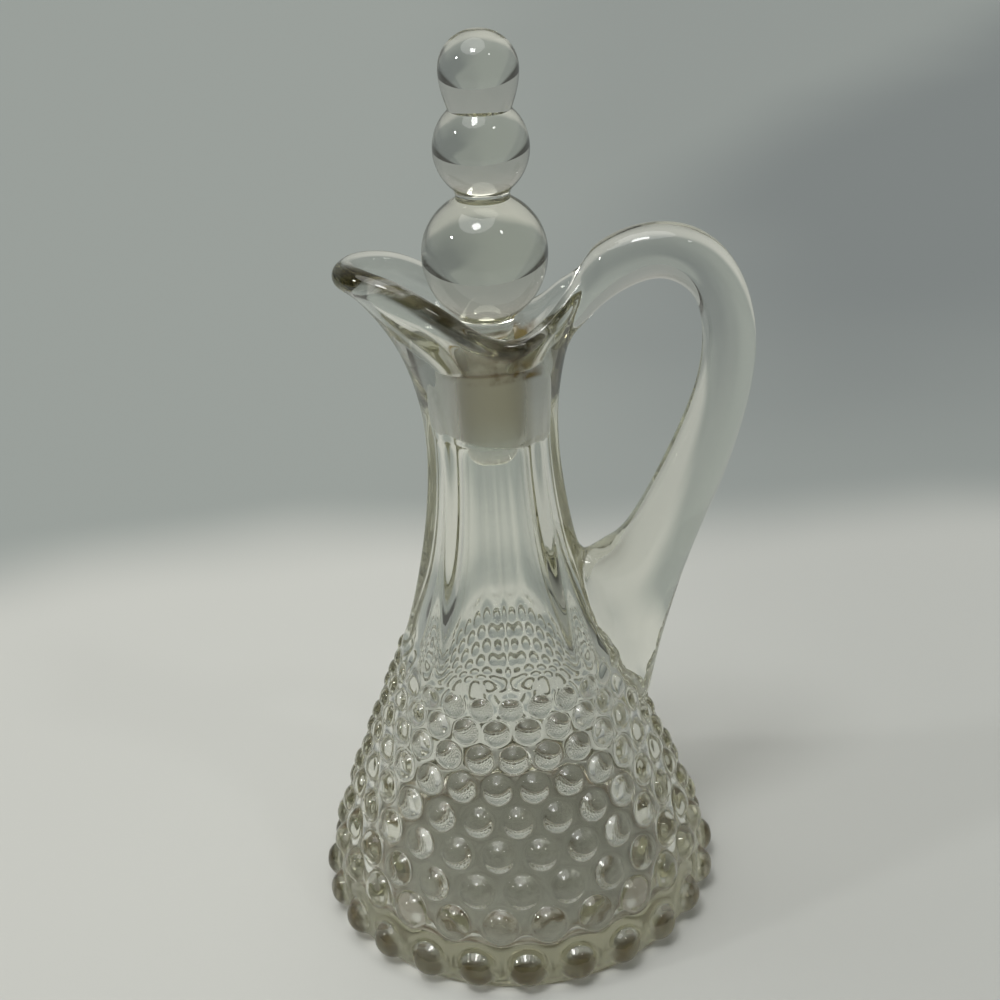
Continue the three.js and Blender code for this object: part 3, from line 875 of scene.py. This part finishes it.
def turn_stopper(sizes, vessel_sizes):
    """Builds the stopper from the tip of the plug up to the small ball."""
    outline = Outline(vessel_sizes)
    bottom = outline.seat_bottom - sizes.clearance
    top = outline.seat_top - sizes.clearance
    floor_height = vessel_sizes.neck_height
    tip_radius = bottom - sizes.chamfer
    rings = []
    for turn in map(math.radians, TIP_DEGREES):
        height = floor_height + sizes.tip_length * math.sin(turn)
        rings.append((tip_radius * math.cos(turn), height))
    rings += [
        (tip_radius, floor_height),
        (bottom, floor_height + sizes.chamfer),
        (top, outline.seat_height - sizes.chamfer),
        (top - sizes.chamfer, outline.seat_height),
        ((top + sizes.stem_radius) / 2, outline.seat_height + sizes.stem_rise * SHOULDER_SHARE),
        (sizes.stem_radius, outline.seat_height + sizes.stem_rise),
    ]
    plug_rings = range(len(TIP_DEGREES) + 1, len(TIP_DEGREES) + 5)
    large, middle, small = STOPPER_BALLS
    rings += ball_rings(large, sizes.stem_radius, sizes.lower_crease)
    ball_tops = [len(rings)]
    rings += ball_rings(middle, sizes.lower_crease, sizes.upper_crease)
    ball_tops.append(len(rings))
    rings += list(ball_rings(small, sizes.upper_crease, 0))[1:-1]
    piece = begin_ring("stopper_glass", STOPPER_SIDES, tip_radius * TIP_POINT, 0)
    base = floor_height - sizes.tip_length
    bpy.ops.transform.translate(value=(0, 0, base + 0.02 * MM))
    for radius, height in rings:
        next_ring(radius, height)
    close_ring(0)
    close_ring(len(rings))
    crease_rings(plug_rings, PLUG_CREASE)
    crease_rings(ball_tops, BALL_CREASE)
    face_out()
    smooth_out(piece, 1)
    seat_middle = Matrix.Translation((0, 0, floor_height + vessel_sizes.seat_length / 2))
    lean = Matrix.Rotation(sizes.lean, 4, "Y")
    piece.data.transform(seat_middle @ lean @ seat_middle.inverted())
    polish(piece, 50)
    return piece


class Number:
    """A number socket that adds its own Math nodes when it is used in a sum."""

    def __init__(self, finish, socket):
        self.finish = finish
        self.socket = socket

    def work_out(self, operation, first, second):
        node = self.finish.node("ShaderNodeMath", {"operation": operation}, {0: first, 1: second})
        return Number(self.finish, node.outputs[0])

    def __add__(self, other):
        return self.work_out("ADD", self, other)

    __radd__ = __add__

    def __sub__(self, other):
        return self.work_out("SUBTRACT", self, other)

    def __rsub__(self, other):
        return self.work_out("SUBTRACT", other, self)

    def __mul__(self, other):
        return self.work_out("MULTIPLY", self, other)

    def __pow__(self, other):
        return self.work_out("POWER", self, other)

    def __abs__(self):
        return self.work_out("ABSOLUTE", self, 0)

    def at_least(self, other):
        return self.work_out("MAXIMUM", self, other)


class Finish:
    """The nodes of a material or of the world, under construction."""

    def __init__(self, owner, output="ShaderNodeOutputMaterial"):
        owner.use_nodes = True
        self.owner = owner
        self.tree = owner.node_tree
        self.tree.nodes.clear()
        self.output = self.node(output)

    def node(self, kind, settings=None, inputs=None):
        """Adds any node, with its settings and its values or links."""
        node = self.tree.nodes.new(kind)
        for key, value in (settings or {}).items():
            setattr(node, key, value)
        for key, value in (inputs or {}).items():
            if isinstance(value, Number):
                value = value.socket
            if isinstance(value, bpy.types.NodeSocket):
                self.tree.links.new(value, node.inputs[key])
            elif isinstance(value, tuple) and node.inputs[key].type == "RGBA":
                node.inputs[key].default_value = (*value[:3], 1)
            else:
                node.inputs[key].default_value = value
        return node

    def number(self, node, output=0):
        return Number(self, node.outputs[output])

    def place(self, kind="Object"):
        """The object's own coordinates and their three numbers."""
        coordinates = self.node("ShaderNodeTexCoord").outputs[kind]
        split = self.node("ShaderNodeSeparateXYZ", inputs={0: coordinates})
        return coordinates, *(Number(self, socket) for socket in split.outputs)

    def fade(self, value, start, end):
        """0 below start, 1 above end, with a soft step between them."""
        node = self.node(
            "ShaderNodeMapRange",
            {"interpolation_type": "SMOOTHSTEP"},
            {"Value": value, "From Min": start, "From Max": end},
        )
        return self.number(node)

    def band(self, value, rise, fall):
        """1 between two soft edges, each given by its start and end in millimetres."""
        return self.rise(value, rise) * (1 - self.rise(value, fall))

    def rise(self, value, edge):
        """Fades in over an edge given by its start and end in millimetres."""
        start, end = edge
        return self.fade(value, start * MM, end * MM)

    def noise(self, vector, scale, detail=2, roughness=0.5):
        """Even noise with so many features per metre."""
        node = self.node(
            "ShaderNodeTexNoise",
            {"noise_dimensions": "3D"},
            {"Vector": vector, "Scale": scale, "Detail": detail, "Roughness": roughness},
        )
        return self.number(node, "Fac")

    def streaks(self, vector, scales):
        """Noise drawn out along the axes with small scales."""
        stretched = self.node(
            "ShaderNodeVectorMath", {"operation": "MULTIPLY"}, {0: vector, 1: scales}
        )
        return self.noise(stretched.outputs[0], 1, 3)

    def mix(self, factor, first, second):
        """Mixes two colours, each a socket or a property."""
        first, second = (
            c if isinstance(c, bpy.types.NodeSocket) else tuple(c) for c in (first, second)
        )
        node = self.node("ShaderNodeMix", {"data_type": "RGBA"}, {0: factor, 6: first, 7: second})
        return node.outputs[2]

    def bump(self, strength, distance, height):
        inputs = {"Strength": strength, "Distance": distance, "Height": height}
        return self.node("ShaderNodeBump", inputs=inputs).outputs[0]

    def result(self, kind, slot, inputs):
        """Links a shader to the output."""
        shader = self.node(kind, inputs=inputs)
        self.tree.links.new(shader.outputs[0], self.output.inputs[slot])


# Noise in features per metre; three numbers draw it out along an axis
WAVES, DIMPLES, SMEARS, BLOTCHES, GRAIN = 45, 420, 30, 260, 900
SEAT_STREAKS, RIM_STREAKS = (60, 60, 900), (70, 420, 420)
FOLDS, WEAVE = 5, 2200

# Soft edges of the marks on the glass: where each starts and where it is full, in millimetres.
# The seat's foot counts from its lower edge, what else is near it from its upper edge, and
# radii there from its own radius
SEAT_FOOT, SEAT_HEAD, SEAT_WALL = (0, 0.7), (-0.4, 0), (0.5, 0.9)
GAP_FOOT, GAP_HEAD = (-0.6, -0.1), (0.1, 0.7)
LINE_FOOT, LINE_HEAD, LINE_OUT, LINE_RIGHT = (-1.1, -0.2), (1.5, 7), (4, 6), (-9, 4)
DEPOSIT_FOOT, DEPOSIT_HEAD, DEPOSIT_OUT = (4, 4.4), (7, 13), (33.6, 34.4)
WORN_HEAD, WORN_OUT = (0.1, 0.3), (22, 30)
DREGS_OUT, DREGS_HEAD = (37.3, 38.0), (9, 16)

# The rim's painted shade: its lowest point, how far the rim climbs from there, and its soft edges
RIM_LOW = (4, 118.2)
RIM_CLIMB, RIM_CLIMB_REACH = 13, (0, 24)
RIM_FOOT, RIM_HANDLE, RIM_BACK, RIM_MIDDLE = (-2.4, -1), (10, 16), (-3, 2), (1, 6)

# Ground band of the seat or the plug: its edges, its radius and its lower edge's slope
Seat = namedtuple("Seat", "low high radius slope")


def painted_rim_shade(finish, coordinates, x, y, z):
    """Painted shade in the thick rim, drawn as dark streaks, strongest in front and beside its
    lowest point.
    """
    low_x, low_z = (value * MM for value in RIM_LOW)
    height = finish.rise(abs(x - low_x), RIM_CLIMB_REACH) * RIM_CLIMB * MM + low_z
    rim = finish.rise(z - height, RIM_FOOT) * (1 - finish.rise(x, RIM_HANDLE))
    rim = rim * (1 - finish.rise(y, RIM_BACK) * 0.85)
    rim = rim * (finish.rise(abs(x + 1 * MM), RIM_MIDDLE) * 0.3 + 0.7)
    return rim * (finish.fade(finish.streaks(coordinates, RIM_STREAKS), 0.32, 0.52) * 0.5 + 0.5)


def glass_finish(name, look, seat, residue_amount, rim_shade_amount):
    """Old pressed glass: clear and faintly wavy, ground at the seat, stained here and there, with
    painted shade in the thick rim in front.
    """
    finish = Finish(bpy.data.materials.new(name))
    coordinates, x, y, z = finish.place()
    from_axis = (x * x + y * y) ** 0.5
    from_seat = from_axis - seat.radius
    above = z - seat.high
    inside = 1 - finish.rise(from_seat, SEAT_WALL)
    ground = finish.rise(z + x * seat.slope - seat.low, SEAT_FOOT)
    ground = ground * (1 - finish.rise(above, SEAT_HEAD)) * inside

    blotches = finish.fade(finish.noise(coordinates, BLOTCHES, 4), 0.42, 0.62)
    gap = finish.band(above, GAP_FOOT, GAP_HEAD) * inside
    line = finish.band(above, LINE_FOOT, LINE_HEAD) * (1 - finish.rise(from_seat, LINE_OUT))
    line = line * (finish.rise(x, LINE_RIGHT) * 0.6 + 0.4) * (blotches * 1.2 + 0.15)
    deposit = finish.band(z, DEPOSIT_FOOT, DEPOSIT_HEAD)
    deposit = deposit * (1 - finish.rise(from_axis, DEPOSIT_OUT))
    worn = (1 - finish.rise(z, WORN_HEAD)) * finish.rise(from_axis, WORN_OUT)
    stain = (line + gap) * residue_amount + (deposit * 0.3 + worn) * (blotches * 0.5 + 0.4)
    dregs = finish.rise(from_axis, DREGS_OUT) * (1 - finish.rise(z, DREGS_HEAD))

    surface = finish.mix(stain, look.surface, look.residue)
    surface = finish.mix(dregs * (blotches * 0.2 + 0.75), surface, look.dregs)
    surface = finish.mix(ground * 0.6, surface, look.seat)
    # Painted shade in the thick rim in front
    rim = painted_rim_shade(finish, coordinates, x, y, z)
    surface = finish.mix(rim * rim_shade_amount, surface, look.rim)

    height = finish.noise(coordinates, WAVES) + finish.noise(coordinates, DIMPLES) * 0.05
    height = height + ground * finish.streaks(coordinates, SEAT_STREAKS) * 0.6
    smears = finish.fade(finish.noise(coordinates, SMEARS, 4), 0.55, 0.8)
    grain = finish.noise(coordinates, GRAIN)
    roughness = look.polish + smears * 0.02 + stain * 0.15
    roughness = roughness + ground * (look.ground - 0.06 + grain * 0.12)
    inputs = {
        "Base Color": surface,
        "Roughness": roughness,
        "IOR": look.index,
        "Transmission Weight": 1.0,
        "Normal": finish.bump(0.25, 0.12 * MM, height),
    }
    finish.result("ShaderNodeBsdfPrincipled", "Surface", inputs)
    depth = {"Color": tuple(look.depth_tint), "Density": look.depth}
    finish.result("ShaderNodeVolumeAbsorption", "Volume", depth)
    return finish.owner


def cloth_finish(look):
    """Soft cloth, pale round the cruet, with painted light under the foot, painted shade that
    greys it further back, a painted shadow behind the handle, painted shade on both sides, and
    painted dark far around.
    """
    finish = Finish(bpy.data.materials.new("cloth"))
    coordinates, x, y, _ = finish.place()
    folds = finish.noise(coordinates, FOLDS, 2, 0.45)
    drift = (folds - 0.5) * 0.1
    from_axis = (x * x + y * y) ** 0.5
    # Painted light under the foot, in place of the light that the glass gathers onto the cloth
    near = finish.mix(finish.rise(from_axis, (34, 39)), look.foot_painted_light, look.near_cloth)
    # Painted shade: the cloth turns grey further back
    pale = finish.mix(finish.rise(y + drift, (118, 172)), near, look.far_painted_shade_cloth)

    # Painted shadow: a soft patch behind the handle; painted shade: darker towards the right, and
    # further out on both sides
    painted_shadow_patch = finish.rise(x + drift, (0, 140)) * finish.rise(y + drift, (120, 320))
    painted_shadow_patch = painted_shadow_patch * (1 - finish.rise(y - x * 1.3 + drift, (260, 420)))
    dim = finish.rise(x + drift, (-60, 100)) * 0.27
    right = finish.rise(x - y * 0.25, (135, 200)) * 0.7
    left = finish.rise(0 - x - y * 0.25, (135, 200)) * 0.4
    shaded = 1 - (1 - painted_shadow_patch * 0.9) * (1 - dim) * (1 - right.at_least(left))
    shade = finish.mix(shaded, pale, look.painted_shadow_cloth)
    # Painted dark: far out beside and before the cruet, the cloth takes the surround's dark
    around = (abs(x) - y * 0.2).at_least(0 - y)
    shade = finish.mix(finish.rise(around, (400, 700)), shade, look.surround)

    weave = finish.noise(coordinates, WEAVE)
    inputs = {
        "Base Color": shade,
        "Roughness": 0.9,
        "Specular IOR Level": 0.2,
        "Normal": finish.bump(0.3, 0.2 * MM, folds * 3 + weave * 0.2),
    }
    finish.result("ShaderNodeBsdfPrincipled", "Surface", inputs)
    return finish.owner


def room_finish(look):
    """A room lit from above: grey at eye level behind the cruet, dark beside and before it."""
    finish = Finish(bpy.data.worlds.new("room"), "ShaderNodeOutputWorld")
    _, _, y, z = finish.place("Generated")
    behind = finish.mix(finish.fade(z, 0.0, 0.7), look.horizon, look.room)
    shade = finish.mix(finish.fade(y, -0.15, 0.55), look.surround, behind)
    shade = finish.mix(finish.fade(z, 0.75, 1.0), shade, look.room)
    finish.result("ShaderNodeBackground", "Surface", {"Color": shade, "Strength": 1.0})
    return finish.owner


def wear(piece, material):
    """Gives the piece its one material."""
    piece.data.materials.clear()
    piece.data.materials.append(material)


class CRUET_OT_vessel(bpy.types.Operator):
    """Build the vessel with its handle as one glass"""

    bl_idname = "cruet.vessel"
    bl_label = "Vessel and Handle"

    def execute(self, context):
        scene = context.scene
        sizes = scene.cruet_vessel
        vessel, outline, neck = raise_vessel(sizes, scene.cruet_lip)
        raise_hobs(outline, sizes.hob_edge)
        crease_ridges(neck, sizes.ridge_crease)
        face_out()
        smooth_out(vessel, SMOOTHINGS)
        handle = draw_handle(scene.cruet_handle)
        smooth_out(handle, SMOOTHINGS)
        fuse(vessel, handle, scene.cruet_handle)
        polish(vessel, 60)
        low = sizes.neck_height - 0.3 * MM
        seat = Seat(low, outline.seat_height, outline.seat_top, slope=0.214)
        look = scene.cruet_glass
        wear(vessel, glass_finish("vessel_glass", look, seat, residue_amount=0.8, rim_shade_amount=1))
        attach(vessel, "vessel")
        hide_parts("cruet_body", "handle")
        return {"FINISHED"}


class CRUET_OT_stopper(bpy.types.Operator):
    """Build the three-ball stopper in its seat"""

    bl_idname = "cruet.stopper"
    bl_label = "Stopper"

    def execute(self, context):
        scene = context.scene
        sizes = scene.cruet_vessel
        stopper = turn_stopper(scene.cruet_stopper, sizes)
        outline = Outline(sizes)
        low = sizes.neck_height + scene.cruet_stopper.chamfer
        plug = Seat(low, outline.seat_height - 0.3 * MM, outline.seat_top, slope=0)
        look = scene.cruet_glass
        wear(stopper, glass_finish("stopper_glass", look, plug, residue_amount=0.4, rim_shade_amount=0))
        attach(stopper, "stopper")
        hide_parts("stopper")
        return {"FINISHED"}


# Lamps: where each shines from, and its width in degrees
LAMPS = {
    "soft_lamp": ((-0.15, -0.1, 0.98), 55),
    "ceiling_lamp": ((-0.18, -0.34, 0.92), 14),
    "left_lamp": ((-0.82, -0.18, 0.55), 5),
    "right_lamp": ((0.51, -0.43, 0.75), 5),
}

# Camera: place in metres; degrees that it looks down, turns and rolls; and lens in millimetres
CAMERA_PLACE = (0, -0.28508, 0.23061)
CAMERA_DOWN, CAMERA_TURN, CAMERA_ROLL = 27.13, -0.12, -3.74
CAMERA_LENS, CAMERA_WIDTH = 62.73, 36

# Cloth: its radius, and how far it lies below the foot so that the two never share a face
CLOTH_RADIUS, CLOTH_DROP = 3, 0.0001

# How many surfaces a ray of light may pass
GLASS_BOUNCES = 32


def add_lamp(name, direction, width, power):
    """A soft far lamp, so many degrees wide, that shines from the given direction."""
    at_rest()
    place = Vector(direction).normalized() * 2
    bpy.ops.object.light_add(type="SUN", location=place)
    lamp = bpy.context.object
    lamp.name = name
    lamp.data.angle = math.radians(width)
    lamp.data.energy = power
    lamp.rotation_euler = place.to_track_quat("Z", "Y").to_euler()


class CRUET_OT_stage(bpy.types.Operator):
    """Lay the cloth and set the lamps, the room and the camera"""

    bl_idname = "cruet.stage"
    bl_label = "Stage"

    def execute(self, context):
        scene = context.scene
        look = scene.cruet_stage
        at_rest()
        bpy.ops.mesh.primitive_circle_add(
            vertices=96, radius=CLOTH_RADIUS, fill_type="NGON", location=(0, 0, -CLOTH_DROP)
        )
        bpy.ops.object.transform_apply(location=True)
        cloth = named("cloth")
        wear(cloth, cloth_finish(look))
        for name, (direction, width) in LAMPS.items():
            add_lamp(name, direction, width, getattr(look, name))
        scene.world = room_finish(look)
        self.camera(scene)
        scene.view_settings.view_transform = "Standard"
        scene.cycles.max_bounces = GLASS_BOUNCES
        scene.cycles.glossy_bounces = GLASS_BOUNCES
        scene.cycles.transmission_bounces = GLASS_BOUNCES
        return {"FINISHED"}

    def camera(self, scene):
        """Stands the camera where the photograph was taken from."""
        bpy.ops.object.camera_add(location=CAMERA_PLACE)
        camera = bpy.context.object
        camera.name = "photo_camera"
        down, turn = math.radians(90 - CAMERA_DOWN), math.radians(CAMERA_TURN)
        aim = Euler((down, 0, turn), "XYZ").to_matrix()
        roll = Matrix.Rotation(math.radians(CAMERA_ROLL), 3, "Z")
        camera.rotation_euler = (aim @ roll).to_euler()
        camera.data.lens = CAMERA_LENS
        camera.data.sensor_width = CAMERA_WIDTH
        camera.data.clip_start = 0.01
        scene.camera = camera


class CRUET_PT_panel(bpy.types.Panel):
    """Lists the cruet's pieces."""

    bl_idname = "CRUET_PT_panel"
    bl_label = "Glass Cruet"
    bl_space_type = "VIEW_3D"
    bl_region_type = "UI"
    bl_category = "Cruet"

    def draw(self, context):
        for operator in OPERATORS:
            self.layout.operator(operator.bl_idname)


GROUPS = {
    "cruet_vessel": VesselSizes,
    "cruet_lip": LipSizes,
    "cruet_handle": HandleSizes,
    "cruet_stopper": StopperSizes,
    "cruet_glass": GlassLook,
    "cruet_stage": StageLook,
}
OPERATORS = (CRUET_OT_vessel, CRUET_OT_stopper, CRUET_OT_stage)


def register():
    for group in (*GROUPS.values(), *OPERATORS, CRUET_PT_panel):
        bpy.utils.register_class(group)
    for name, group in GROUPS.items():
        setattr(bpy.types.Scene, name, bpy.props.PointerProperty(type=group))


def unregister():
    for name in GROUPS:
        delattr(bpy.types.Scene, name)
    for group in (CRUET_PT_panel, *OPERATORS, *GROUPS.values()):
        bpy.utils.unregister_class(group)


def main():
    register()
    bpy.ops.cruet.vessel()
    bpy.ops.cruet.stopper()
    bpy.ops.cruet.stage()
    at_rest()


if __name__ == "__main__":
    main()
